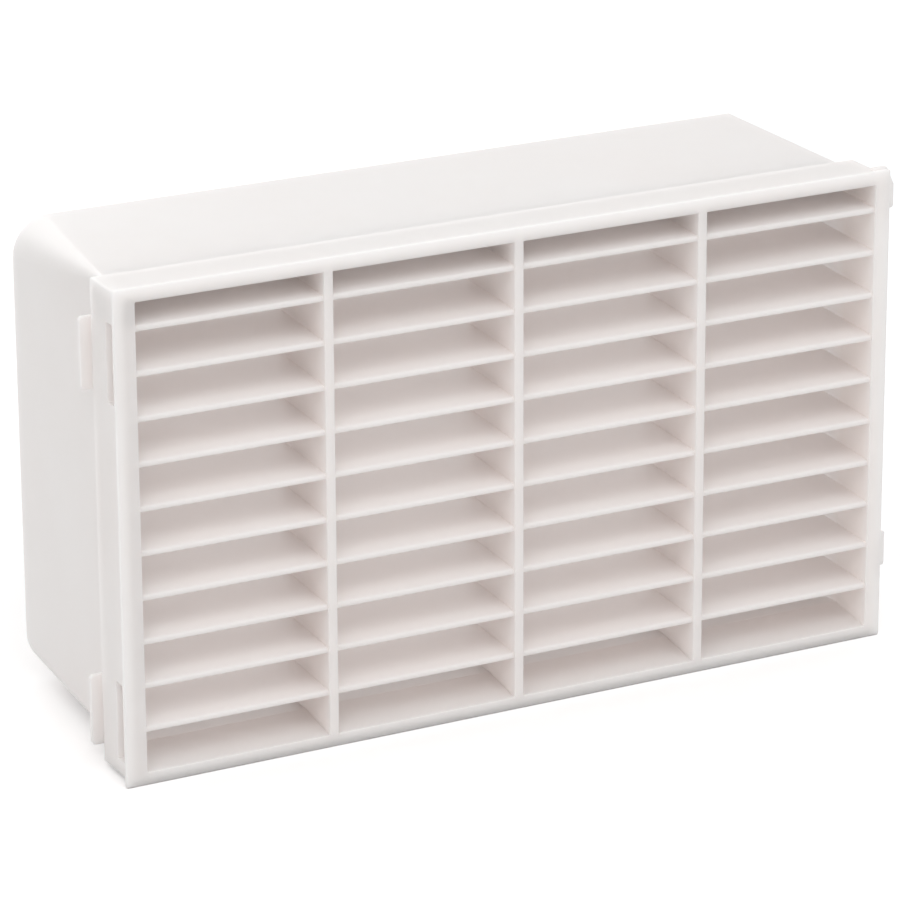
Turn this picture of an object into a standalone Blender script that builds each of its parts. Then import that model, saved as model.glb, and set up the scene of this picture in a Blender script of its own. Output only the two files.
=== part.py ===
"""Brick vent grille: louvred face, collar and hollow wall sleeve, moulded as one piece.

Metres, +Z up. X runs along the face, Y goes into the wall. The front of the face lies on
Y = 0, its bottom edge on Z = 0, and X = 0 is the middle of the face.
"""
import math

import bmesh
import bpy
from mathutils import Vector

# Face: a thin rim around the window that holds the louvres
FACE_WIDTH = 0.225
FACE_HEIGHT = 0.1325
RIM_THICKNESS = 0.0012
RIM_EDGE_RADIUS = 0.0003
LEFT_STILE_WIDTH = 0.0059
RIGHT_STILE_WIDTH = 0.0046
TOP_RAIL_HEIGHT = 0.0038
BOTTOM_RAIL_HEIGHT = 0.0035

# Collar: the box behind the rim, which the louvres span
COLLAR_WALL = 0.0022
COLLAR_INSET = 0.0012
COLLAR_DEPTH = 0.017

# Sleeve: the hollow box that goes through the brickwork
OVERALL_DEPTH = 0.0786
SLEEVE_WALL = 0.0016
SLEEVE_LEFT_INSET = 0.0058
SLEEVE_RIGHT_INSET = 0.003
SLEEVE_TOP_INSET = 0.003
SLEEVE_BOTTOM_INSET = 0.0039
SLEEVE_EDGE_RADIUS = 0.0004
SLEEVE_REAR_RADIUS = 0.0105
CORNER_SEGMENTS = 8

# Louvres: slats and mullions, deep enough to hide what is behind them from above
COLUMNS = 4
MULLION_WIDTH = 0.0026
MULLION_REAR_WIDTH = 0.0022
LOUVRE_PITCH = 0.01185
TOP_GAP = 0.0062
LEAST_BOTTOM_GAP = 0.005
SLAT_FRONT = 0.0016
SLAT_REAR = 0.0013
SLAT_NOSE_RADIUS = 0.0006
NOSE_SEGMENTS = 3
SLAT_SETBACK = 0.0005
SLAT_RISE_DEG = 2.5
BANK_DEPTH = 0.0275

# Fixings: slots and ribs on the left, lugs on the right
SLOT_WIDTH = 0.005
SLOT_HEIGHT = 0.021
SLOT_CENTRE_DEPTH = 0.0055
LOW_SLOT_BOTTOM = 0.0055
HIGH_SLOT_DROP = 0.0102
LUG_THICKNESS = 0.0018
LUG_REACH = 0.004
LUG_CORNER_RADIUS = 0.0008
LOW_LUG_BOTTOM = 0.0183
LOW_LUG_HEIGHT = 0.01
LOW_LUG_CUT = (0.0005, 0.0005)
HIGH_LUG_DROP = 0.0006
HIGH_LUG_HEIGHT = 0.0116
HIGH_LUG_CUT = (0.0023, 0.005)
RIB_THICKNESS = 0.0015
RIB_GAP = 0.0045
RIB_HEIGHT = 0.0193
LOW_RIB_BOTTOM = 0.004
HIGH_RIB_DROP = 0.0128

# How far one shape runs into the next before they are joined or cut
BITE = 0.001

PLASTIC_COLOUR = (0.92, 0.865, 0.845, 1.0)
PLASTIC_ROUGHNESS = 0.45

HALF_WIDTH = FACE_WIDTH / 2
COLLAR_HALF = HALF_WIDTH - COLLAR_INSET
WINDOW_LEFT = LEFT_STILE_WIDTH - HALF_WIDTH
WINDOW_RIGHT = HALF_WIDTH - RIGHT_STILE_WIDTH
WINDOW_LOW = BOTTOM_RAIL_HEIGHT
WINDOW_HIGH = FACE_HEIGHT - TOP_RAIL_HEIGHT
CAVITY_LEFT = COLLAR_WALL - COLLAR_HALF
CAVITY_RIGHT = WINDOW_RIGHT
CAVITY_LOW = COLLAR_INSET + COLLAR_WALL
CAVITY_HIGH = FACE_HEIGHT - COLLAR_INSET - COLLAR_WALL
LEDGE = COLLAR_DEPTH - COLLAR_WALL
LEDGE_MIDDLE = COLLAR_DEPTH - COLLAR_WALL / 2
SLEEVE_LEFT = SLEEVE_LEFT_INSET - HALF_WIDTH
SLEEVE_RIGHT = HALF_WIDTH - SLEEVE_RIGHT_INSET
SLEEVE_LOW = SLEEVE_BOTTOM_INSET
SLEEVE_HIGH = FACE_HEIGHT - SLEEVE_TOP_INSET
SLAT_SLOPE = math.tan(math.radians(SLAT_RISE_DEG))


def clear_scene():
    """Removes whatever objects the open file holds."""
    for obj in list(bpy.data.objects):
        bpy.data.objects.remove(obj, do_unlink=True)


def new_collection(name):
    """A collection of that name under the scene."""
    collection = bpy.data.collections.new(name)
    bpy.context.scene.collection.children.link(collection)
    return collection


def plastic():
    """Off-white moulded plastic."""
    material = bpy.data.materials.new("white_plastic")
    material.use_nodes = True
    shader = material.node_tree.nodes["Principled BSDF"]
    shader.inputs["Base Color"].default_value = PLASTIC_COLOUR
    shader.inputs["Roughness"].default_value = PLASTIC_ROUGHNESS
    shader.inputs["Metallic"].default_value = 0.0
    return material


def to_object(name, bm, collection):
    """Puts a bmesh in the scene as an object with its faces pointing out."""
    bmesh.ops.recalc_face_normals(bm, faces=bm.faces)
    mesh = bpy.data.meshes.new(name)
    bm.to_mesh(mesh)
    bm.free()
    obj = bpy.data.objects.new(name, mesh)
    collection.objects.link(obj)
    return obj


def box_mesh(low, high):
    """A box between two corners."""
    low, high = Vector(low), Vector(high)
    bm = bmesh.new()
    bmesh.ops.create_cube(bm, size=1.0)
    bmesh.ops.scale(bm, vec=high - low, verts=bm.verts)
    bmesh.ops.translate(bm, vec=(low + high) / 2, verts=bm.verts)
    return bm


def extruded(outline, direction):
    """A closed outline, pushed along a direction."""
    bm = bmesh.new()
    face = bm.faces.new([bm.verts.new(point) for point in outline])
    pushed = bmesh.ops.extrude_face_region(bm, geom=[face])
    moved = [item for item in pushed["geom"] if isinstance(item, bmesh.types.BMVert)]
    bmesh.ops.translate(bm, vec=direction, verts=moved)
    return bm


def arc(centre, radius, start_deg, end_deg, segments):
    """Points of an arc in a plane, as pairs."""
    points = []
    for step in range(segments + 1):
        angle = math.radians(start_deg + (end_deg - start_deg) * step / segments)
        points.append((centre[0] + radius * math.cos(angle), centre[1] + radius * math.sin(angle)))
    return points


def combine(body, operation, piece):
    """Adds one exact Boolean step to the body."""
    step = body.modifiers.new(operation.lower() + "_" + piece.name, "BOOLEAN")
    step.operation = operation
    step.solver = "EXACT"
    step.object = piece


def rim_mesh():
    """The face's rim as a solid slab, with its four front edges rounded."""
    bm = box_mesh((-HALF_WIDTH, 0, 0), (HALF_WIDTH, RIM_THICKNESS, FACE_HEIGHT))
    front = [edge for edge in bm.edges if all(vert.co.y < RIM_THICKNESS / 2 for vert in edge.verts)]
    bmesh.ops.bevel(bm, geom=front, offset=RIM_EDGE_RADIUS, segments=2, profile=0.5, affect="EDGES")
    return bm


def sleeve_section(inset, left_radius, right_radius, y):
    """One section of the sleeve: a rectangle whose left and right corners have their own radius."""
    left, right = SLEEVE_LEFT + inset, SLEEVE_RIGHT - inset
    low, high = SLEEVE_LOW + inset, SLEEVE_HIGH - inset
    corners = (
        (right - right_radius, high - right_radius, right_radius, 0),
        (left + left_radius, high - left_radius, left_radius, 90),
        (left + left_radius, low + left_radius, left_radius, 180),
        (right - right_radius, low + right_radius, right_radius, 270),
    )
    points = []
    for x, z, radius, start in corners:
        points += arc((x, z), radius, start, start + 90, CORNER_SEGMENTS)
    return [Vector((x, y, z)) for x, z in points]


def sleeve_loft(inset, y_start, y_end):
    """Lofts the sleeve: its left corners open from an edge at the collar to a round at the rear."""
    length = OVERALL_DEPTH - COLLAR_DEPTH
    rings = []
    bm = bmesh.new()
    for y in (y_start, y_end):
        share = (y - COLLAR_DEPTH) / length
        outer = SLEEVE_EDGE_RADIUS + (SLEEVE_REAR_RADIUS - SLEEVE_EDGE_RADIUS) * share
        left_radius = max(outer - inset, SLEEVE_EDGE_RADIUS)
        points = sleeve_section(inset, left_radius, SLEEVE_EDGE_RADIUS, y)
        rings.append([bm.verts.new(point) for point in points])
    first, last = rings
    count = len(first)
    for i in range(count):
        j = (i + 1) % count
        bm.faces.new((first[i], first[j], last[j], last[i]))
    bm.faces.new(first)
    bm.faces.new(list(reversed(last)))
    return bm


def bank_space(collection):
    """The room the louvres may fill: the hollows, plus a bite into the walls round them."""
    skin = SLEEVE_WALL - BITE
    front = box_mesh(
        (CAVITY_LEFT - BITE, -BITE, CAVITY_LOW - BITE),
        (CAVITY_RIGHT + BITE, LEDGE_MIDDLE, CAVITY_HIGH + BITE),
    )
    rear = box_mesh(
        (SLEEVE_LEFT + skin, LEDGE_MIDDLE - BITE, SLEEVE_LOW + skin),
        (SLEEVE_RIGHT - skin, BANK_DEPTH, SLEEVE_HIGH - skin),
    )
    space = to_object("bank_space", front, collection)
    combine(space, "UNION", to_object("bank_space_rear", rear, collection))
    return space


def slat_outline(x, bottom):
    """A slat's section: a blunt round nose, rising and thinning towards the rear."""
    front, rear, radius = SLAT_SETBACK, BANK_DEPTH + BITE, SLAT_NOSE_RADIUS
    rise = (rear - front) * SLAT_SLOPE
    points = arc((front + radius, bottom + radius), radius, 270, 180, NOSE_SEGMENTS)
    points += arc((front + radius, bottom + SLAT_FRONT - radius), radius, 180, 90, NOSE_SEGMENTS)
    points += [(rear, bottom + SLAT_FRONT + rise), (rear, bottom + SLAT_FRONT + rise - SLAT_REAR)]
    return [Vector((x, y, z)) for y, z in points]


def slat_count():
    """How many slats fit between the top rail and the sill, with an open gap under the last."""
    room = WINDOW_HIGH - TOP_GAP - SLAT_FRONT - WINDOW_LOW - LEAST_BOTTOM_GAP
    return int(room / LOUVRE_PITCH) + 1


def slats(collection, space):
    """The bank of slats, from the top down, each running into the side walls."""
    start, end = CAVITY_LEFT - BITE, CAVITY_RIGHT + BITE
    bottom = WINDOW_HIGH - TOP_GAP - SLAT_FRONT
    bank = to_object("slats", extruded(slat_outline(start, bottom), (end - start, 0, 0)), collection)
    array = bank.modifiers.new("bank", "ARRAY")
    array.count = slat_count()
    array.use_relative_offset = False
    array.use_constant_offset = True
    array.constant_offset_displace = (0, 0, -LOUVRE_PITCH)
    combine(bank, "INTERSECT", space)
    return bank


def sill(collection):
    """The floor of the lowest opening, which rises from the bottom rail to the sleeve's floor."""
    start, end = CAVITY_LEFT - BITE, CAVITY_RIGHT + BITE
    front, floor = RIM_THICKNESS / 2, SLEEVE_LOW + SLEEVE_WALL
    slope = (floor - WINDOW_LOW) / (LEDGE - RIM_THICKNESS)
    outline = [
        (front, WINDOW_LOW - (RIM_THICKNESS - front) * slope),
        (LEDGE, floor),
        (LEDGE_MIDDLE, floor - (LEDGE_MIDDLE - LEDGE)),
        (LEDGE_MIDDLE, CAVITY_LOW - BITE),
        (front, CAVITY_LOW - BITE),
    ]
    points = [Vector((start, y, z)) for y, z in outline]
    return to_object("sill", extruded(points, (end - start, 0, 0)), collection)


def mullions(collection, space):
    """The upright dividers, flush with the face in front and slightly tapered behind."""
    pitch = (WINDOW_RIGHT - WINDOW_LEFT + MULLION_WIDTH) / COLUMNS
    first = WINDOW_LEFT - MULLION_WIDTH / 2 + pitch
    half, rear_half = MULLION_WIDTH / 2, MULLION_REAR_WIDTH / 2
    rear = BANK_DEPTH + BITE
    outline = [(first - half, 0), (first + half, 0), (first + rear_half, rear), (first - rear_half, rear)]
    points = [Vector((x, y, 0)) for x, y in outline]
    bank = to_object("mullions", extruded(points, (0, 0, FACE_HEIGHT)), collection)
    array = bank.modifiers.new("bank", "ARRAY")
    array.count = COLUMNS - 1
    array.use_relative_offset = False
    array.use_constant_offset = True
    array.constant_offset_displace = (pitch, 0, 0)
    combine(bank, "INTERSECT", space)
    return bank


def ribs(collection):
    """Two upright ribs on the sleeve's left side, level with the edge of the face."""
    front = COLLAR_DEPTH + RIB_GAP
    root = SLEEVE_LEFT + SLEEVE_WALL / 2
    pieces = []
    for name, low in (("low_rib", LOW_RIB_BOTTOM), ("high_rib", FACE_HEIGHT - HIGH_RIB_DROP - RIB_HEIGHT)):
        bm = box_mesh((-HALF_WIDTH, front, low), (root, front + RIB_THICKNESS, low + RIB_HEIGHT))
        pieces.append(to_object(name, bm, collection))
    return pieces


def slots(collection):
    """Two upright slots through the collar's left wall, right behind the rim."""
    front = SLOT_CENTRE_DEPTH - SLOT_WIDTH / 2
    pieces = []
    outside, inside = -HALF_WIDTH - BITE, CAVITY_LEFT + BITE / 2
    high_bottom = FACE_HEIGHT - HIGH_SLOT_DROP - SLOT_HEIGHT
    for name, low in (("low_slot", LOW_SLOT_BOTTOM), ("high_slot", high_bottom)):
        bm = box_mesh((outside, front, low), (inside, front + SLOT_WIDTH, low + SLOT_HEIGHT))
        pieces.append(to_object(name, bm, collection))
    return pieces


def lugs(collection):
    """Two thin lugs on the right, as deep in as the slots are, with their upper corners cut back."""
    front = SLOT_CENTRE_DEPTH - LUG_THICKNESS / 2
    root, tip, radius = COLLAR_HALF - COLLAR_WALL / 2, HALF_WIDTH + LUG_REACH, LUG_CORNER_RADIUS
    high_bottom = FACE_HEIGHT - HIGH_LUG_DROP - HIGH_LUG_HEIGHT
    pieces = []
    for name, low, height, (cut_run, cut_drop) in (
        ("low_lug", LOW_LUG_BOTTOM, LOW_LUG_HEIGHT, LOW_LUG_CUT),
        ("high_lug", high_bottom, HIGH_LUG_HEIGHT, HIGH_LUG_CUT),
    ):
        outline = [(root, low)]
        outline += arc((tip - radius, low + radius), radius, 270, 360, CORNER_SEGMENTS // 2)
        outline += [(tip, low + height - cut_drop), (tip - cut_run, low + height), (root, low + height)]
        points = [Vector((x, front, z)) for x, z in outline]
        pieces.append(to_object(name, extruded(points, (0, LUG_THICKNESS, 0)), collection))
    return pieces


def build_grille():
    """Builds the grille: outer block, hollows, louvres, then the fixings."""
    parts = new_collection("brick_vent_grille")
    tools = new_collection("cutters")
    body = to_object("vent_grille", rim_mesh(), parts)
    body.data.materials.append(plastic())

    collar = box_mesh(
        (-COLLAR_HALF, RIM_THICKNESS / 2, COLLAR_INSET),
        (COLLAR_HALF, COLLAR_DEPTH, FACE_HEIGHT - COLLAR_INSET),
    )
    window = box_mesh(
        (WINDOW_LEFT, -BITE, WINDOW_LOW),
        (WINDOW_RIGHT, RIM_THICKNESS + BITE, WINDOW_HIGH),
    )
    collar_hollow = box_mesh(
        (CAVITY_LEFT, RIM_THICKNESS, CAVITY_LOW),
        (CAVITY_RIGHT, LEDGE, CAVITY_HIGH),
    )
    combine(body, "UNION", to_object("collar", collar, tools))
    combine(body, "UNION", to_object("sleeve", sleeve_loft(0, LEDGE_MIDDLE, OVERALL_DEPTH), tools))
    combine(body, "DIFFERENCE", to_object("window", window, tools))
    combine(body, "DIFFERENCE", to_object("collar_hollow", collar_hollow, tools))
    sleeve_hollow = sleeve_loft(SLEEVE_WALL, LEDGE - BITE, OVERALL_DEPTH + BITE)
    combine(body, "DIFFERENCE", to_object("sleeve_hollow", sleeve_hollow, tools))
    space = bank_space(tools)
    combine(body, "UNION", sill(tools))
    combine(body, "UNION", mullions(tools, space))
    combine(body, "UNION", slats(tools, space))
    for piece in ribs(tools) + lugs(tools):
        combine(body, "UNION", piece)
    for piece in slots(tools):
        combine(body, "DIFFERENCE", piece)

    for piece in tools.objects:
        piece.hide_render = True
        piece.display_type = "WIRE"


clear_scene()
build_grille()
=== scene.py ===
# %% [markdown]
# # A brick vent grille, dressed in Blender
#
# The real object is one white plastic moulding. A thin face with four columns of louvres sits
# in front of a collar, and a hollow sleeve behind the collar carries the air through the wall.
# The CAD model gives its size and place. This lesson builds the same moulding again with the
# soft edges that a mould leaves, gives it its plastic, and lights it like the photograph.
#
# X runs along the face, Y goes into the wall and Z is up, all in metres.

# %% Load the frame
import math

import bmesh
import bpy
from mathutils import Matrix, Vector


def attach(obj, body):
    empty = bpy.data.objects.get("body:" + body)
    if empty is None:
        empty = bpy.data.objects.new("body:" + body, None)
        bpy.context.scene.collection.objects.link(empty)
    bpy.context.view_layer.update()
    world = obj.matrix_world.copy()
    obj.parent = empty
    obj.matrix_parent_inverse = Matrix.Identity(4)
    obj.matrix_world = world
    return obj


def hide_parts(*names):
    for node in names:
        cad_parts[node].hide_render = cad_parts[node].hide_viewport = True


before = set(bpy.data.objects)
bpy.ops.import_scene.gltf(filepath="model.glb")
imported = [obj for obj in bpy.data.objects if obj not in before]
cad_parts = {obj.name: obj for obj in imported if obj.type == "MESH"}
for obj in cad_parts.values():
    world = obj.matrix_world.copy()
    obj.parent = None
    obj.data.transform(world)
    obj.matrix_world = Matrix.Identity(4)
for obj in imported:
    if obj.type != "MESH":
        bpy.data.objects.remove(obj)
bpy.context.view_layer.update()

# %% [markdown]
# ## Sizes
#
# Each size is the same as in the CAD model, so nothing has to be fitted afterwards. A rectangle
# is kept as its left, right, lower and upper side. The sleeve stands back from the collar by
# a different amount on each side, because the ribs on its left need room.

# %% The rectangles that the moulding is made of
FACE = (-0.1125, 0.1125, 0.0, 0.1325)
WINDOW = (-0.1066, 0.1079, 0.0035, 0.1287)
COLLAR = (-0.1113, 0.1113, 0.0012, 0.1313)
CAVITY = (-0.1091, 0.1079, 0.0035, 0.1291)
SLEEVE = (-0.1067, 0.1095, 0.0039, 0.1295)
SLEEVE_WALL = 0.0016


def grown(sides, by):
    """The rectangle with every side moved out by the same amount."""
    left, right, low, high = sides
    return (left - by, right + by, low - by, high + by)


HOLLOW = grown(SLEEVE, -SLEEVE_WALL)
print("hollow, mm:", [round(side * 1000, 1) for side in HOLLOW])

# %% Depths from the front of the face, and the sleeve's corner radii
RIM_REAR = 0.0012
LEDGE_FRONT = 0.0148
COLLAR_REAR = 0.017
BANK_REAR = 0.0275
SLEEVE_REAR = 0.0786
REAR_CORNER = 0.0105
FRONT_CORNER = 0.0006
print("sleeve stands", round((SLEEVE_REAR - COLLAR_REAR) * 1000, 1), "mm behind the collar")

# %% [markdown]
# ## The shell, lofted from rings
#
# Rim, collar, sleeve and the hollow inside them are one closed skin. It could be cut from
# boxes, but then every soft edge would need a bevel that survives the cuts. Here the skin is
# a loft instead: a list of rounded rectangles, one behind the other, each joined to the next.
# An edge of the moulding is a few rings close together that follow a small arc.

# %% One ring
CORNER_STEPS = 10


def ring_points(y, sides, radii):
    """A rounded rectangle at one depth.

    The radii are for its top right, top left, bottom left and bottom right corner.
    """
    left, right, low, high = sides
    top_right, top_left, bottom_left, bottom_right = radii
    centres = (
        (right - top_right, high - top_right, top_right, 0),
        (left + top_left, high - top_left, top_left, 90),
        (left + bottom_left, low + bottom_left, bottom_left, 180),
        (right - bottom_right, low + bottom_right, bottom_right, 270),
    )
    points = []
    for middle_x, middle_z, radius, start in centres:
        for step in range(CORNER_STEPS + 1):
            angle = math.radians(start + 90 * step / CORNER_STEPS)
            x = middle_x + radius * math.cos(angle)
            z = middle_z + radius * math.sin(angle)
            points.append(Vector((x, y, z)))
    return points


print("points in a ring:", len(ring_points(0, FACE, (0.001,) * 4)))

# %% [markdown]
# An edge of the moulding turns between a wall that runs along Y and a flat that faces along Y.
# The helper below gives the rings of that turn. `ahead` says whether the wall goes on to the
# rear or to the front. `inward` says whether the flat lies inside the rectangle, as on
# the rim's outer edge, or outside it, as on the edge of a hole.

# %% Rings of a rounded edge
EDGE_STEPS = 4
LEAST_RADIUS = 0.00005


def edge_rings(y, sides, radii, size, ahead, inward):
    """Rings from the flat to the wall, along a quarter circle."""
    rings = []
    for step in range(EDGE_STEPS + 1):
        angle = math.radians(90 * (1 - step / EDGE_STEPS))
        depth = size * (1 - math.sin(angle))
        inset = size * (1 - math.cos(angle))
        shift = -inset if inward else inset
        turned = tuple(max(radius + shift, LEAST_RADIUS) for radius in radii)
        rings.append(ring_points(y + (depth if ahead else -depth), grown(sides, shift), turned))
    return rings


print("rings in an edge:", len(edge_rings(0, FACE, (0.001,) * 4, 0.0003, True, True)))

# %% [markdown]
# The sleeve's left corners are its one odd feature: sharp at the collar, they open into a round
# of about 10 mm at the rear, while the right corners stay sharp. A radius that grows
# with the depth gives that in one line.

# %% How the sleeve's corners open
def sleeve_radii(y, inset=0.0):
    """Corner radii of the sleeve at a depth, or of its hollow if it is inset by the wall."""
    share = (y - COLLAR_REAR) / (SLEEVE_REAR - COLLAR_REAR)
    left = max(FRONT_CORNER + (REAR_CORNER - FRONT_CORNER) * share - inset, FRONT_CORNER)
    return (FRONT_CORNER, left, left, FRONT_CORNER)


print("left radius at the rear, mm:", round(sleeve_radii(SLEEVE_REAR)[1] * 1000, 2))

# %% [markdown]
# The rings run from the window's edge out over the face, back along the outside, round the
# sleeve's rear edge and forward again through the hollow. The helper goes from flat to wall, so
# an edge that the skin meets from its wall is turned round.

# %% All rings, in order
SMALL = (FRONT_CORNER,) * 4
TIGHT = (0.0003,) * 4
SOFT_EDGE = 0.00035
FINE_EDGE = 0.0002
SLEEVE_STEPS = 8


def shell_rings():
    """The rings of the whole skin, up to the rear end of the cavity."""
    rings = []
    rings += list(reversed(edge_rings(0.0, WINDOW, TIGHT, FINE_EDGE, True, False)))
    rings += edge_rings(0.0, FACE, SMALL, SOFT_EDGE, True, True)
    rings += list(reversed(edge_rings(RIM_REAR, FACE, SMALL, FINE_EDGE, False, True)))
    rings += edge_rings(RIM_REAR, COLLAR, SMALL, FINE_EDGE, True, False)
    rings += list(reversed(edge_rings(COLLAR_REAR, COLLAR, SMALL, SOFT_EDGE, False, True)))
    rings += edge_rings(COLLAR_REAR, SLEEVE, sleeve_radii(COLLAR_REAR), FINE_EDGE, True, False)
    for step in range(1, SLEEVE_STEPS):
        y = COLLAR_REAR + (SLEEVE_REAR - COLLAR_REAR) * step / SLEEVE_STEPS
        rings.append(ring_points(y, SLEEVE, sleeve_radii(y)))
    rear, rear_hollow = sleeve_radii(SLEEVE_REAR), sleeve_radii(SLEEVE_REAR, SLEEVE_WALL)
    rings += list(reversed(edge_rings(SLEEVE_REAR, SLEEVE, rear, SOFT_EDGE, False, True)))
    rings += edge_rings(SLEEVE_REAR, HOLLOW, rear_hollow, SOFT_EDGE, False, False)
    for step in range(SLEEVE_STEPS - 1, 0, -1):
        y = LEDGE_FRONT + (SLEEVE_REAR - LEDGE_FRONT) * step / SLEEVE_STEPS
        rings.append(ring_points(y, HOLLOW, sleeve_radii(y, SLEEVE_WALL)))
    rings.append(ring_points(LEDGE_FRONT, HOLLOW, TIGHT))
    return rings


print("rings so far:", len(shell_rings()))

# %% [markdown]
# Behind the rim the cavity is a little wider than the window on the left. Its floor, the sill,
# rises from the window's lower edge to the sleeve's floor, so that rain runs out. The last rings
# are the cavity's rear end, its front end behind the rim, and the window itself. Where two
# rings would lie on the same line, a hair's breadth keeps them apart, so no face has zero area.

# %% Skin the rings into one closed mesh
HAIR = 0.00003
SAME_PLACE = 0.000001


def shell_mesh():
    """Joins each ring to the next, and the last to the first."""
    rings = shell_rings()
    cavity_end = (CAVITY[0], HOLLOW[1] + HAIR, HOLLOW[2] - HAIR, CAVITY[3])
    rings.append(ring_points(LEDGE_FRONT, cavity_end, TIGHT))
    rings.append(ring_points(RIM_REAR, CAVITY, TIGHT))
    rings.append(ring_points(RIM_REAR, WINDOW, TIGHT))
    bm = bmesh.new()
    rows = [[bm.verts.new(point) for point in ring] for ring in rings]
    for first, second in zip(rows, rows[1:] + rows[:1]):
        for i in range(len(first)):
            j = (i + 1) % len(first)
            bm.faces.new((first[i], first[j], second[j], second[i]))
    bmesh.ops.remove_doubles(bm, verts=bm.verts, dist=SAME_PLACE)
    bmesh.ops.dissolve_degenerate(bm, edges=bm.edges, dist=SAME_PLACE)
    bmesh.ops.recalc_face_normals(bm, faces=bm.faces)
    return bm


def as_object(name, bm):
    """Puts a bmesh in the scene."""
    mesh = bpy.data.meshes.new(name)
    bm.to_mesh(mesh)
    bm.free()
    obj = bpy.data.objects.new(name, mesh)
    bpy.context.scene.collection.objects.link(obj)
    return obj


grille = as_object("grille", shell_mesh())
print("shell:", len(grille.data.polygons), "faces")

# %% [markdown]
# ## The plastic
#
# The moulding is a satin white plastic, a little warm. Under a lamp such a surface is never
# quite even: the melt leaves very faint clouds, the polish of the mould varies, the flats are
# slightly wavy, and the skin has a fine grain. All four are noises on object coordinates, and
# each scale below says how many of its patches come on a metre. Light also enters the thin
# slats and comes out again, which brightens the openings, so the shader scatters it under the
# surface. Values that are even all over go on the shader's own sockets.

# %% Values of the plastic
CLOUD_DARK = (0.925, 0.848, 0.819, 1.0)
CLOUD_LIGHT = (0.945, 0.868, 0.841, 1.0)
SMOOTHEST, ROUGHEST = 0.41, 0.50
CLOUD_SCALE, POLISH_SCALE, WAVE_SCALE, GRAIN_SCALE = 25, 120, 45, 2500
WAVE_STRENGTH, WAVE_HEIGHT = 0.25, 0.0001
GRAIN_STRENGTH, GRAIN_HEIGHT = 0.12, 0.00003
SCATTER_DEPTH = 0.006
print("cloud size, mm:", 1000 / CLOUD_SCALE, "grain size, mm:", 1000 / GRAIN_SCALE)

# %% Nodes that the material uses more than once
def noise(tree, place, scale, detail):
    """A noise on object coordinates."""
    texture = tree.nodes.new("ShaderNodeTexNoise")
    texture.inputs["Scale"].default_value = scale
    texture.inputs["Detail"].default_value = detail
    tree.links.new(place.outputs["Object"], texture.inputs["Vector"])
    return texture.outputs["Fac"]


def spread(tree, value, low, high, to_low, to_high):
    """Stretches the middle part of a noise to the range that a setting needs."""
    change = tree.nodes.new("ShaderNodeMapRange")
    change.inputs["From Min"].default_value = low
    change.inputs["From Max"].default_value = high
    change.inputs["To Min"].default_value = to_low
    change.inputs["To Max"].default_value = to_high
    tree.links.new(value, change.inputs["Value"])
    return change.outputs["Result"]


def bump(tree, height, strength, distance):
    """A bump from a height."""
    node = tree.nodes.new("ShaderNodeBump")
    node.inputs["Strength"].default_value = strength
    node.inputs["Distance"].default_value = distance
    tree.links.new(height, node.inputs["Height"])
    return node


print("three helpers ready")

# %% Material of the whole moulding
def white_plastic():
    """Satin off-white plastic with faint clouds, uneven polish, soft waves and a fine grain."""
    material = bpy.data.materials.new("white_plastic")
    material.use_nodes = True
    tree = material.node_tree
    shader = tree.nodes["Principled BSDF"]
    shader.inputs["Metallic"].default_value = 0.0
    shader.inputs["IOR"].default_value = 1.49
    shader.inputs["Specular IOR Level"].default_value = 0.3
    shader.inputs["Subsurface Weight"].default_value = 1.0
    shader.inputs["Subsurface Radius"].default_value = (1.0, 1.0, 1.0)
    shader.inputs["Subsurface Scale"].default_value = SCATTER_DEPTH

    place = tree.nodes.new("ShaderNodeTexCoord")
    clouds = tree.nodes.new("ShaderNodeMix")
    clouds.data_type = "RGBA"
    clouds.inputs["A"].default_value = CLOUD_DARK
    clouds.inputs["B"].default_value = CLOUD_LIGHT
    cloudy = spread(tree, noise(tree, place, CLOUD_SCALE, 3), 0.35, 0.65, 0.0, 1.0)
    tree.links.new(cloudy, clouds.inputs["Factor"])
    tree.links.new(clouds.outputs["Result"], shader.inputs["Base Color"])
    polish = spread(tree, noise(tree, place, POLISH_SCALE, 4), 0.3, 0.7, SMOOTHEST, ROUGHEST)
    tree.links.new(polish, shader.inputs["Roughness"])

    grain = bump(tree, noise(tree, place, GRAIN_SCALE, 2), GRAIN_STRENGTH, GRAIN_HEIGHT)
    waves = bump(tree, noise(tree, place, WAVE_SCALE, 1), WAVE_STRENGTH, WAVE_HEIGHT)
    tree.links.new(grain.outputs["Normal"], waves.inputs["Normal"])
    tree.links.new(waves.outputs["Normal"], shader.inputs["Normal"])
    return material


plastic = white_plastic()
print("plastic has", len(plastic.node_tree.nodes), "nodes")

# %% [markdown]
# ## Slats and mullions, with Geometry Nodes
#
# The louvres are one slat ten times over and one upright three times over. Both are a flat
# outline that is pushed out to a bar and repeated, so one tree makes both. The bars also have to
# follow the shell: they reach wall to wall in the collar, and less far in the narrower sleeve
# behind it. The tree pulls every point behind the ledge back into the sleeve's room, with
# the step itself hidden inside the wall.
#
# The tree has three parts. The first pushes the outline out and closes the bar with the outline
# itself, turned round. The second trims it behind the ledge. The third repeats it.

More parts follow.
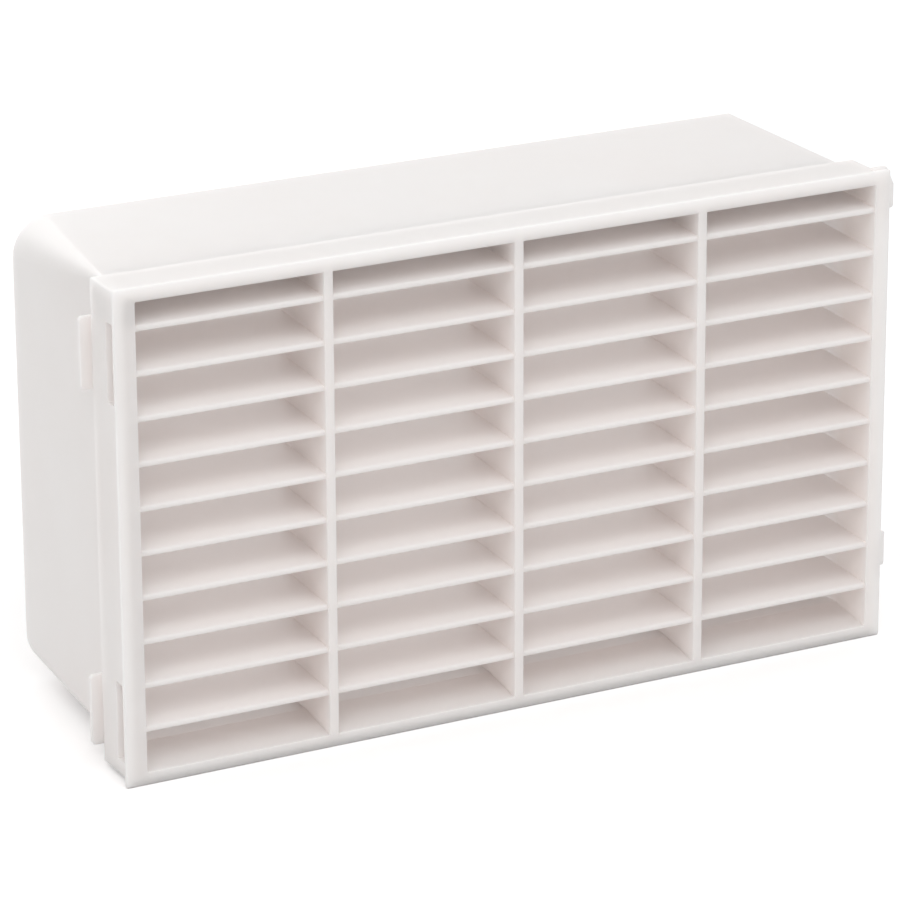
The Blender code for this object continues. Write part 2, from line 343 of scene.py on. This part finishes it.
# %% First part: a closed bar
def closed_bar(tree, given):
    """Pushes the outline out and welds the outline itself on as the other end."""
    nodes, links = tree.nodes, tree.links
    push = nodes.new("GeometryNodeExtrudeMesh")
    push.mode = "FACES"
    push.inputs["Offset Scale"].default_value = 1.0
    push.inputs["Individual"].default_value = False
    links.new(given.outputs["Outline"], push.inputs["Mesh"])
    links.new(given.outputs["Run"], push.inputs["Offset"])
    back = nodes.new("GeometryNodeFlipFaces")
    links.new(given.outputs["Outline"], back.inputs["Mesh"])
    both = nodes.new("GeometryNodeJoinGeometry")
    links.new(push.outputs["Mesh"], both.inputs["Geometry"])
    links.new(back.outputs["Mesh"], both.inputs["Geometry"])
    weld = nodes.new("GeometryNodeMergeByDistance")
    weld.inputs["Distance"].default_value = SAME_PLACE
    links.new(both.outputs["Geometry"], weld.inputs["Geometry"])
    return weld.outputs["Geometry"]


print("part one ready")

# %% Second part: the trim behind the ledge
def trimmed(tree, given, bar):
    """Pulls every point behind the ledge into the sleeve's room."""
    nodes, links = tree.nodes, tree.links
    where = nodes.new("GeometryNodeInputPosition")
    split = nodes.new("ShaderNodeSeparateXYZ")
    links.new(where.outputs["Position"], split.inputs["Vector"])
    behind = nodes.new("FunctionNodeCompare")
    behind.data_type = "FLOAT"
    behind.operation = "GREATER_THAN"
    links.new(split.outputs["Y"], behind.inputs["A"])
    links.new(given.outputs["Ledge Depth"], behind.inputs["B"])
    not_low = nodes.new("ShaderNodeVectorMath")
    not_low.operation = "MAXIMUM"
    links.new(where.outputs["Position"], not_low.inputs[0])
    links.new(given.outputs["Room Low"], not_low.inputs[1])
    not_high = nodes.new("ShaderNodeVectorMath")
    not_high.operation = "MINIMUM"
    links.new(not_low.outputs["Vector"], not_high.inputs[0])
    links.new(given.outputs["Room High"], not_high.inputs[1])
    trim = nodes.new("GeometryNodeSetPosition")
    links.new(bar, trim.inputs["Geometry"])
    links.new(behind.outputs["Result"], trim.inputs["Selection"])
    links.new(not_high.outputs["Vector"], trim.inputs["Position"])
    return trim.outputs["Geometry"]


print("part two ready")

# %% Third part: the row of bars
def repeated(tree, given, bar):
    """Sets the bar on a line of points, makes the copies real and gives them the plastic."""
    nodes, links = tree.nodes, tree.links
    places = nodes.new("GeometryNodeMeshLine")
    places.mode = "OFFSET"
    links.new(given.outputs["Count"], places.inputs["Count"])
    links.new(given.outputs["Step"], places.inputs["Offset"])
    repeat = nodes.new("GeometryNodeInstanceOnPoints")
    links.new(places.outputs["Mesh"], repeat.inputs["Points"])
    links.new(bar, repeat.inputs["Instance"])
    real = nodes.new("GeometryNodeRealizeInstances")
    links.new(repeat.outputs["Instances"], real.inputs["Geometry"])
    finish = nodes.new("GeometryNodeSetMaterial")
    links.new(real.outputs["Geometry"], finish.inputs["Geometry"])
    links.new(given.outputs["Finish"], finish.inputs["Material"])
    return finish.outputs["Geometry"]


print("part three ready")

# %% The tree and its inputs
BANK_INPUTS = (
    ("Outline", "NodeSocketGeometry"),
    ("Run", "NodeSocketVector"),
    ("Count", "NodeSocketInt"),
    ("Step", "NodeSocketVector"),
    ("Ledge Depth", "NodeSocketFloat"),
    ("Room Low", "NodeSocketVector"),
    ("Room High", "NodeSocketVector"),
    ("Finish", "NodeSocketMaterial"),
)


def bar_bank_tree():
    """Makes a row of closed bars, trimmed behind the ledge, out of one outline."""
    tree = bpy.data.node_groups.new("bar_bank", "GeometryNodeTree")
    for name, kind in BANK_INPUTS:
        tree.interface.new_socket(name, in_out="INPUT", socket_type=kind)
    tree.interface.new_socket("Bars", in_out="OUTPUT", socket_type="NodeSocketGeometry")
    given, result = tree.nodes.new("NodeGroupInput"), tree.nodes.new("NodeGroupOutput")
    bar = trimmed(tree, given, closed_bar(tree, given))
    tree.links.new(repeated(tree, given, bar), result.inputs["Bars"])
    return tree


bank_tree = bar_bank_tree()
print("tree has", len(bank_tree.nodes), "nodes")

# %% [markdown]
# An input of the modifier is set by its identifier, not by its name, so a small helper looks
# the identifier up. It also turns the result into a plain mesh and takes the modifier off. The
# bars step in at the ledge, so the outline gets an edge across it on both sides of that step.
# Without them the bars' ends would be one bent face, which Blender splits as it likes.

# %% Run the tree on an outline
LEDGE_INSIDE = (0.0150, 0.0164)
LEDGE_MIDDLE = sum(LEDGE_INSIDE) / 2


def settled(obj):
    """Replaces an object's mesh by what its modifiers make of it."""
    graph = bpy.context.evaluated_depsgraph_get()
    mesh = bpy.data.meshes.new_from_object(obj.evaluated_get(graph))
    obj.modifiers.clear()
    old = obj.data
    obj.data = mesh
    bpy.data.meshes.remove(old)
    return obj


def run_bank(name, outline, **values):
    """A bank of bars as a plain mesh object."""
    bm = bmesh.new()
    bm.faces.new([bm.verts.new(point) for point in outline])
    for depth in LEDGE_INSIDE:
        across = [vert for vert in bm.verts if abs(vert.co.y - depth) < SAME_PLACE]
        bmesh.ops.connect_verts(bm, verts=across)
    obj = as_object(name, bm)
    modifier = obj.modifiers.new("bank", "NODES")
    modifier.node_group = bank_tree
    for item in bank_tree.interface.items_tree:
        key = item.name.replace(" ", "_").lower()
        if key in values:
            modifier[item.identifier] = values[key]
    return settled(obj)


print("the step is trimmed at", round(LEDGE_MIDDLE * 1000, 2), "mm")

# %% [markdown]
# A slat in section has a blunt round nose, rises by 2.5 degrees and thins towards
# the rear. Slats stand half a millimetre behind the face, as the photograph shows where they
# meet the uprights. In the section below, the chin is the nose's lower round and the brow its
# upper one, which ends where the slat's slope takes over.

# %% The slat's section
SLAT_FRONT = 0.0016
SLAT_BACK = 0.0013
SLAT_START = 0.0005
SLAT_CHIN, SLAT_BROW, SLAT_TAIL = 0.0005, 0.0007, 0.0003
SLAT_RISE = math.tan(math.radians(2.5))
LOUVRE_PITCH = 0.01185
TOP_GAP = 0.0062
SLATS = 10


def arc(y, z, radius, start, end, steps=3):
    """Points of a small round in a flat outline, as pairs."""
    angles = [math.radians(start + (end - start) * step / steps) for step in range(steps + 1)]
    return [(y + radius * math.cos(angle), z + radius * math.sin(angle)) for angle in angles]


def slat_section(x, bottom):
    """The outline of one slat in the plane of X."""
    top = bottom + SLAT_FRONT
    rise = (BANK_REAR - SLAT_START) * SLAT_RISE
    back_low = top + rise - SLAT_BACK

    def under(y):
        share = (y - SLAT_START) / (BANK_REAR - SLAT_START)
        return bottom + (back_low - bottom) * share

    def over(y):
        return top + (y - SLAT_START) * SLAT_RISE

    inner, outer = LEDGE_INSIDE
    pairs = arc(SLAT_START + SLAT_CHIN, bottom + SLAT_CHIN, SLAT_CHIN, 270, 180, 4)
    pairs += arc(SLAT_START + SLAT_BROW, top - SLAT_BROW, SLAT_BROW, 180, 92, 5)
    pairs += [(inner, over(inner)), (outer, over(outer))]
    pairs += arc(BANK_REAR - SLAT_TAIL, top + rise - SLAT_TAIL, SLAT_TAIL, 90, 0)
    pairs += arc(BANK_REAR - SLAT_TAIL, back_low + SLAT_TAIL, SLAT_TAIL, 0, -90)
    pairs += [(outer, under(outer)), (inner, under(inner))]
    return [Vector((x, y, z)) for y, z in pairs]


top_slat = WINDOW[3] - TOP_GAP - SLAT_FRONT
print("slat section has", len(slat_section(0, top_slat)), "points")

# %% [markdown]
# The slats' ends sink a hair into the walls, so that the join later has something to bite on.
# The slats are trimmed only sideways, so the room's other limits are set far away.

# %% The bank of slats
SEAT = 0.00005
FAR = 1.0
inner_left, inner_right = CAVITY[0] - SEAT, CAVITY[1] + SEAT
slats = run_bank(
    "slats",
    slat_section(inner_left, top_slat),
    run=(inner_right - inner_left, 0.0, 0.0),
    count=SLATS,
    step=(0.0, 0.0, -LOUVRE_PITCH),
    ledge_depth=LEDGE_MIDDLE,
    room_low=(HOLLOW[0] - SEAT, -FAR, -FAR),
    room_high=(HOLLOW[1] + SEAT, FAR, FAR),
    finish=plastic,
)
print("slats:", len(slats.data.polygons), "faces")

# %% [markdown]
# The uprights, or mullions, are flush with the face, 2.6 mm wide in front and a little thinner
# behind, so that the mould can let go of them. Their outline lies flat, and the tree pushes
# it up from the sill to the top of the cavity.

# %% The mullion's plan
MULLION_WIDTH = 0.0026
MULLION_REAR = 0.0022
MULLION_EDGE = 0.0003
MULLION_SEAT = 0.0005
COLUMNS = 4


def mullion_plan(x, z):
    """The outline of one upright, seen from above."""
    half, tail, edge = MULLION_WIDTH / 2, MULLION_REAR / 2, MULLION_EDGE
    inner, outer = LEDGE_INSIDE

    def side(y):
        return half + (tail - half) * y / BANK_REAR

    right = [(x + a, y) for a, y in arc(half - edge, edge, edge, -90, 0)]
    right += [(x + side(inner), inner), (x + side(outer), outer)]
    right += [(x + tail, BANK_REAR - edge), (x + tail - edge, BANK_REAR)]
    left = [(2 * x - a, y) for a, y in reversed(right)]
    return [Vector((a, y, z)) for a, y in right + left]


column_pitch = (WINDOW[1] - WINDOW[0] + MULLION_WIDTH) / COLUMNS
first_mullion = WINDOW[0] - MULLION_WIDTH / 2 + column_pitch
print("a column every", round(column_pitch * 1000, 2), "mm")

# %% The bank of mullions
foot, head = CAVITY[2] - MULLION_SEAT, CAVITY[3] + MULLION_SEAT
mullions = run_bank(
    "mullions",
    mullion_plan(first_mullion, foot),
    run=(0.0, 0.0, head - foot),
    count=COLUMNS - 1,
    step=(column_pitch, 0.0, 0.0),
    ledge_depth=LEDGE_MIDDLE,
    room_low=(-FAR, -FAR, HOLLOW[2] - SEAT),
    room_high=(FAR, FAR, HOLLOW[3] + SEAT),
    finish=plastic,
)
print("mullions:", len(mullions.data.polygons), "faces")

# %% [markdown]
# ## Ribs, lugs and slots
#
# On the left, two ribs stand on the sleeve and reach out as far as the edge of the face, and
# two slots go through the collar right behind the rim. On the right, two thin lugs reach out
# past the face. All of them are flat outlines that are pushed to the rear into blocks with
# rounded edges. Edges inside a round corner turn only a little, so they get no bevel.

# %% Bevelled blocks
SHARP = math.radians(35)


def block(name, outline, depth, edge):
    """An outline pushed to the rear, with its sharp edges rounded."""
    bm = bmesh.new()
    face = bm.faces.new([bm.verts.new(point) for point in outline])
    moved = bmesh.ops.extrude_face_region(bm, geom=[face])["geom"]
    corners = [item for item in moved if isinstance(item, bmesh.types.BMVert)]
    bmesh.ops.translate(bm, vec=(0, depth, 0), verts=corners)
    bmesh.ops.recalc_face_normals(bm, faces=bm.faces)
    sharp = [line for line in bm.edges if line.calc_face_angle() > SHARP]
    bmesh.ops.bevel(bm, geom=sharp, offset=edge, segments=3, profile=0.5, affect="EDGES")
    return as_object(name, bm)


print("sharp means over", round(math.degrees(SHARP)), "degrees")

# %% Ribs
RIB_FRONT = 0.0215
RIB_DEPTH = 0.0015
RIB_HEIGHT = 0.0193
RIB_ROOT = SLEEVE[0] + 0.001
RIB_CORNER = 0.0012
RIB_EDGE = 0.0003
RIB_BOTTOMS = {"low_rib": 0.004, "high_rib": 0.1004}


def rib_outline(low):
    """A rib from the front: square where it grows out of the sleeve, round at its free corners."""
    high, turn = low + RIB_HEIGHT, RIB_CORNER
    pairs = [(RIB_ROOT, low), (RIB_ROOT, high)]
    pairs += arc(FACE[0] + turn, high - turn, turn, 90, 180)
    pairs += arc(FACE[0] + turn, low + turn, turn, 180, 270)
    return [Vector((x, RIB_FRONT, z)) for x, z in pairs]


ribs = [block(name, rib_outline(low), RIB_DEPTH, RIB_EDGE) for name, low in RIB_BOTTOMS.items()]
print("ribs:", [len(rib.data.polygons) for rib in ribs])

# %% [markdown]
# The high lug has its upper corner cut back, as in the photograph. The low one has only
# its edge broken. Each is given by its lower side, its upper side, and how far the cut runs
# sideways and down.

# %% Lugs
LUG_FRONT = 0.0046
LUG_DEPTH = 0.0018
LUG_ROOT, LUG_TIP = 0.1102, 0.1165
LUG_CORNER = 0.0008
LUG_EDGE = 0.0002
LUG_SHAPES = {
    "low_lug": (0.0183, 0.0283, 0.0005, 0.0005),
    "high_lug": (0.1203, 0.1319, 0.0023, 0.005),
}


def lug_outline(low, high, cut_run, cut_drop):
    """A lug from the front: square at the wall, its lower corner round, its upper one cut back."""
    pairs = [(LUG_ROOT, low)]
    pairs += arc(LUG_TIP - LUG_CORNER, low + LUG_CORNER, LUG_CORNER, -90, 0)
    pairs += [(LUG_TIP, high - cut_drop), (LUG_TIP - cut_run, high), (LUG_ROOT, high)]
    return [Vector((x, LUG_FRONT, z)) for x, z in pairs]


lugs = [block(name, lug_outline(*shape), LUG_DEPTH, LUG_EDGE) for name, shape in LUG_SHAPES.items()]
print("lugs:", [len(lug.data.polygons) for lug in lugs])

# %% [markdown]
# The slots are cut with blocks that stick out of the collar's wall on both sides, so that
# no skin is left over the opening.

# %% Blocks that cut the slots
SLOT_FRONT, SLOT_DEPTH, SLOT_HEIGHT = 0.003, 0.005, 0.021
SLOT_OUTSIDE, SLOT_INSIDE = FACE[0] - 0.002, CAVITY[0] + 0.0003
SLOT_CORNER = 0.0002
SLOT_BOTTOMS = {"low_slot": 0.0055, "high_slot": 0.1013}


def slot_outline(low):
    """A slot's block from the front."""
    high = low + SLOT_HEIGHT
    pairs = [(SLOT_OUTSIDE, low), (SLOT_INSIDE, low), (SLOT_INSIDE, high), (SLOT_OUTSIDE, high)]
    return [Vector((x, SLOT_FRONT, z)) for x, z in pairs]


slots = [
    block(name, slot_outline(low), SLOT_DEPTH, SLOT_CORNER) for name, low in SLOT_BOTTOMS.items()
]
print("slots:", len(slots))

# %% [markdown]
# ## One moulding
#
# In the real object all this is one piece of plastic, so the blocks and bars are joined to the
# shell with exact Booleans rather than left standing in each other. The slots are cut last.

# %% Join and cut
def joined(body, pieces, operation):
    """Applies one Boolean for each piece and removes the pieces."""
    for piece in pieces:
        step = body.modifiers.new(piece.name, "BOOLEAN")
        step.operation = operation
        step.solver = "EXACT"
        step.object = piece
    settled(body)
    for piece in pieces:
        bpy.data.objects.remove(piece, do_unlink=True)
    return body


joined(grille, [mullions, slats, *ribs, *lugs], "UNION")
joined(grille, slots, "DIFFERENCE")
print("one moulding:", len(grille.data.polygons), "faces")

# %% [markdown]
# A Boolean can leave points that are almost one, and merging them can open a tiny hole, so the
# mesh is mended first. The outer edges of the slots are new and still sharp. A small
# bevel goes on those of them that lie in the collar's left side.

# %% Mend the mesh and soften the slots
ON_SIDE = 0.00001
SLOT_MARGIN = 0.0001
SLOT_EDGE = 0.00025
STEEP = 1.0


def mend(bm):
    """Merges points that are almost one, fills tiny holes and turns all faces outward."""
    bmesh.ops.remove_doubles(bm, verts=bm.verts, dist=SAME_PLACE)
    bmesh.ops.holes_fill(bm, edges=[line for line in bm.edges if line.is_boundary], sides=4)
    bmesh.ops.recalc_face_normals(bm, faces=bm.faces)


def slot_edges(bm):
    """The edges, steeper than 1 radian, where the slots open in the collar's left side."""
    first, last = SLOT_FRONT - SLOT_MARGIN, SLOT_FRONT + SLOT_DEPTH + SLOT_MARGIN
    found = []
    for line in bm.edges:
        ends = [vert.co for vert in line.verts]
        on_side = all(abs(end.x - COLLAR[0]) < ON_SIDE for end in ends)
        at_slot = all(first < end.y < last for end in ends)
        if on_side and at_slot and len(line.link_faces) == 2 and line.calc_face_angle() > STEEP:
            found.append(line)
    return found


def soften_slots(obj):
    """Mends a mesh and bevels the slots' outer edges."""
    bm = bmesh.new()
    bm.from_mesh(obj.data)
    mend(bm)
    rim = slot_edges(bm)
    bmesh.ops.bevel(bm, geom=rim, offset=SLOT_EDGE, segments=2, profile=0.5, affect="EDGES")
    bm.to_mesh(obj.data)
    bm.free()
    return len(rim)


print("slot edges softened:", soften_slots(grille))

# %% [markdown]
# The whole piece is one plastic, shaded smooth up to 35 degrees. A Weighted Normal modifier
# keeps the large flats flat.

# %% Finish and shading
def set_shading(obj):
    """Smooth shading with flat flats."""
    obj.data.shade_smooth()
    obj.data.set_sharp_from_angle(angle=SHARP)
    weighted = obj.modifiers.new("flats", "WEIGHTED_NORMAL")
    weighted.keep_sharp = True
    weighted.weight = 100
    settled(obj)


grille.data.materials.clear()
grille.data.materials.append(plastic)
for polygon in grille.data.polygons:
    polygon.material_index = 0
set_shading(grille)
print("materials:", [material.name for material in grille.data.materials])

# %% Test that the skin is closed
def skin_test(obj):
    """How many edges don't join exactly two faces, and the volume inside."""
    bm = bmesh.new()
    bm.from_mesh(obj.data)
    count = sum(len(line.link_faces) != 2 for line in bm.edges)
    volume = bm.calc_volume()
    bm.free()
    return count, volume


open_edges, volume = skin_test(grille)
print("open edges:", open_edges, "volume, cm3:", round(volume * 1e6, 1))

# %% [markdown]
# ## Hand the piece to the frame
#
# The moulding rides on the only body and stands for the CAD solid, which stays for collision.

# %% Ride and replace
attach(grille, "root")
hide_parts("vent_grille")

# %% [markdown]
# ## Camera
#
# The photograph is taken with a long lens from the left and above. The place, turn and lens
# come from fitting the face's four corners and the sleeve's rear edges.

# %% Camera at the photograph's angle
CAMERA_PLACE = (-0.552692, -1.025617, 0.483669)
CAMERA_TURN = (70.5644, 0.2721, -27.5577)
CAMERA_LENS, CAMERA_SENSOR = 190.84, 36.0
FACE_MIDDLE = (0.0, 0.0, 0.066)

camera_data = bpy.data.cameras.new("camera")
camera_data.sensor_width = CAMERA_SENSOR
camera_data.lens = CAMERA_LENS
camera = bpy.data.objects.new("camera", camera_data)
camera.location = CAMERA_PLACE
camera.rotation_euler = tuple(math.radians(angle) for angle in CAMERA_TURN)
bpy.context.scene.collection.objects.link(camera)
bpy.context.scene.camera = camera
distance = (camera.location - Vector(FACE_MIDDLE)).length
print("camera is", round(distance, 3), "m from the face's middle")

# %% [markdown]
# ## Floor, background and light
#
# The photograph is cut out on white. A white floor and a white world give the same, if the world's
# light and what the camera sees of it are kept apart: Light Path tells them apart, so the light
# can stay at a level that doesn't bleach the plastic. The floor keeps its own soft shadow.

# %% What is seen, and what gives light
def grey(level):
    """A colour between black and white."""
    return (level, level, level, 1.0)


def seen_directly(tree):
    """1 for camera, glossy and transmission rays, and 0 for the light that lights other things."""
    path = tree.nodes.new("ShaderNodeLightPath")
    either = tree.nodes.new("ShaderNodeMath")
    either.operation = "MAXIMUM"
    tree.links.new(path.outputs["Is Camera Ray"], either.inputs[0])
    tree.links.new(path.outputs["Is Glossy Ray"], either.inputs[1])
    any_of = tree.nodes.new("ShaderNodeMath")
    any_of.operation = "MAXIMUM"
    tree.links.new(either.outputs["Value"], any_of.inputs[0])
    tree.links.new(path.outputs["Is Transmission Ray"], any_of.inputs[1])
    return any_of.outputs["Value"]


print("white is", grey(1.0))

# %% Floor
FLOOR_REACH = 6.0
FLOOR_BOUNCE = 0.72
FLOOR_PAPER = 0.9
FLOOR_LIFT = 0.25


def floor_material():
    """White paper for the camera, lifted a little, and light grey where it bounces light."""
    material = bpy.data.materials.new("floor")
    material.use_nodes = True
    tree = material.node_tree
    tree.nodes.remove(tree.nodes["Principled BSDF"])
    bounce = tree.nodes.new("ShaderNodeBsdfDiffuse")
    bounce.inputs["Color"].default_value = grey(FLOOR_BOUNCE)
    paper = tree.nodes.new("ShaderNodeBsdfDiffuse")
    paper.inputs["Color"].default_value = grey(FLOOR_PAPER)
    lift = tree.nodes.new("ShaderNodeEmission")
    lift.inputs["Color"].default_value = grey(1.0)
    lift.inputs["Strength"].default_value = FLOOR_LIFT
    shown = tree.nodes.new("ShaderNodeAddShader")
    tree.links.new(paper.outputs["BSDF"], shown.inputs[0])
    tree.links.new(lift.outputs["Emission"], shown.inputs[1])
    pick = tree.nodes.new("ShaderNodeMixShader")
    tree.links.new(seen_directly(tree), pick.inputs["Fac"])
    tree.links.new(bounce.outputs["BSDF"], pick.inputs[1])
    tree.links.new(shown.outputs["Shader"], pick.inputs[2])
    tree.links.new(pick.outputs["Shader"], tree.nodes["Material Output"].inputs["Surface"])
    return material


floor_mesh = bmesh.new()
bmesh.ops.create_grid(floor_mesh, x_segments=1, y_segments=1, size=FLOOR_REACH)
floor = as_object("floor", floor_mesh)
floor.data.materials.append(floor_material())
print("floor is", floor.dimensions.x, "m wide")

# %% World
WORLD_LIGHT = 0.70
WORLD_SHOWN = 1.0

world = bpy.data.worlds.new("studio")
bpy.context.scene.world = world
world.use_nodes = True
sky = world.node_tree
giving = sky.nodes["Background"]
giving.inputs["Color"].default_value = grey(1.0)
giving.inputs["Strength"].default_value = WORLD_LIGHT
showing = sky.nodes.new("ShaderNodeBackground")
showing.inputs["Color"].default_value = grey(1.0)
showing.inputs["Strength"].default_value = WORLD_SHOWN
choose = sky.nodes.new("ShaderNodeMixShader")
sky.links.new(seen_directly(sky), choose.inputs["Fac"])
sky.links.new(giving.outputs["Background"], choose.inputs[1])
sky.links.new(showing.outputs["Background"], choose.inputs[2])
sky.links.new(choose.outputs["Shader"], sky.nodes["World Output"].inputs["Surface"])
print("world lights at", WORLD_LIGHT)

# %% [markdown]
# The world alone lights every side the same. Two large soft lamps stand high in front, one on
# each side, and brighten the top and the front part of each slat, as in the photograph. A third
# stands low behind and shines through the open sleeve. Without it the louvres would look grey,
# because little of the light from the front gets to the rear of a slat.

# %% Soft lamps
LAMP_SIZE = 0.9
LAMP_AIM = (0.0, 0.02, 0.066)
LAMPS = (
    ("left_front", (-0.70, -0.84, 1.24), 5.4),
    ("right_front", (0.27, -0.99, 1.29), 3.2),
    ("rear", (0.0, 1.55, 0.42), 7.5),
)


def soft_lamp(name, place, power):
    """A square area lamp that looks at the grille."""
    data = bpy.data.lights.new(name, "AREA")
    data.shape = "SQUARE"
    data.size = LAMP_SIZE
    data.energy = power
    obj = bpy.data.objects.new(name, data)
    obj.location = place
    look = Vector(LAMP_AIM) - Vector(place)
    obj.rotation_euler = look.to_track_quat("-Z", "Y").to_euler()
    bpy.context.scene.collection.objects.link(obj)
    return obj


lamps = [soft_lamp(*row) for row in LAMPS]
print("lamps:", [lamp.name for lamp in lamps])

# %% [markdown]
# The view transform is Standard, so a colour renders about as it is written.

bpy.context.scene.view_settings.view_transform = "Standard"
bpy.context.view_layer.update()
